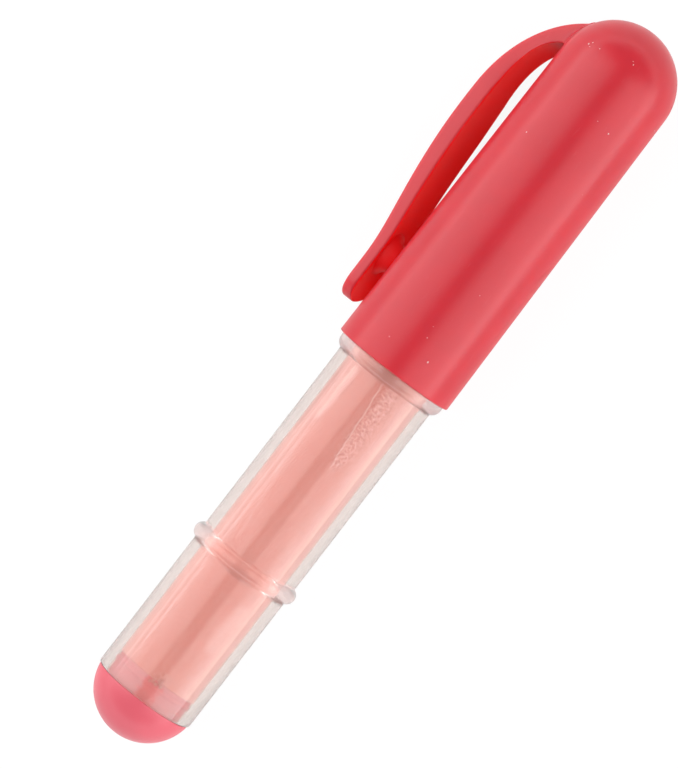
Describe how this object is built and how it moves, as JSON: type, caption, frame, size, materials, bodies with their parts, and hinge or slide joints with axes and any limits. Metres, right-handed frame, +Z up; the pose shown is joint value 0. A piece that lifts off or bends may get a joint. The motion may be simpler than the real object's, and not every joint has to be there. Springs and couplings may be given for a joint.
{
  "type": "chalk wheel marker",
  "caption": "Pen-style tailor's chalk marker: clear powder tube, toothed dosing wheel in a pointed nose, pull-out tail plug and a domed cap with a pocket clip.",
  "frame": {"origin": "under the middle of the pen's bounding box, on the surface that it lies on", "axes": "+X along the pen from the tail plug to the cap's dome, +Z up from the surface, +Y to the side that the clip leans to"},
  "size_m": [0.107, 0.0218, 0.0162],
  "materials": {
    "clear_plastic": "clear, polished",
    "chalk_powder": "packed pink powder",
    "plug_plastic": "satin moulded",
    "nose_plastic": "satin moulded",
    "cradle_plastic": "matt moulded",
    "wheel_metal": "fine-toothed, bright rim",
    "pin_steel": "ground",
    "cap_plastic": "polished moulded"
  },
  "bodies": {
    "barrel": {"barrel": "clear_plastic", "chalk_charge": "chalk_powder", "nose_cone": "nose_plastic", "wheel_cradle": "cradle_plastic", "axle_pin": "pin_steel"},
    "cap": {"cap_shell": "cap_plastic"},
    "clip": {"pocket_clip": "cap_plastic"},
    "plug": {"tail_plug": "plug_plastic"},
    "wheel": {"dosing_wheel": "wheel_metal"}
  },
  "joints": [
    {"name": "cap_pull", "type": "slide", "parent": "barrel", "child": "cap", "axis": [1, 0, 0], "range_m": [0, 0.042]},
    {"name": "clip_flex", "type": "hinge", "parent": "cap", "child": "clip", "pos_m": [0.04335, 0.0069, 0.00405], "axis": [0, -0.3842, -0.9232], "range_deg": [0, 6], "stiffness_Nm_per_rad": 1.5},
    {"name": "plug_pull", "type": "slide", "parent": "barrel", "child": "plug", "axis": [-1, 0, 0], "range_m": [0, 0.01]},
    {"name": "wheel_spin", "type": "hinge", "parent": "barrel", "child": "wheel", "pos_m": [0.03025, -0.00282, 0.0081], "axis": [0, 0.3842, 0.9232], "continuous": true}
  ]
}
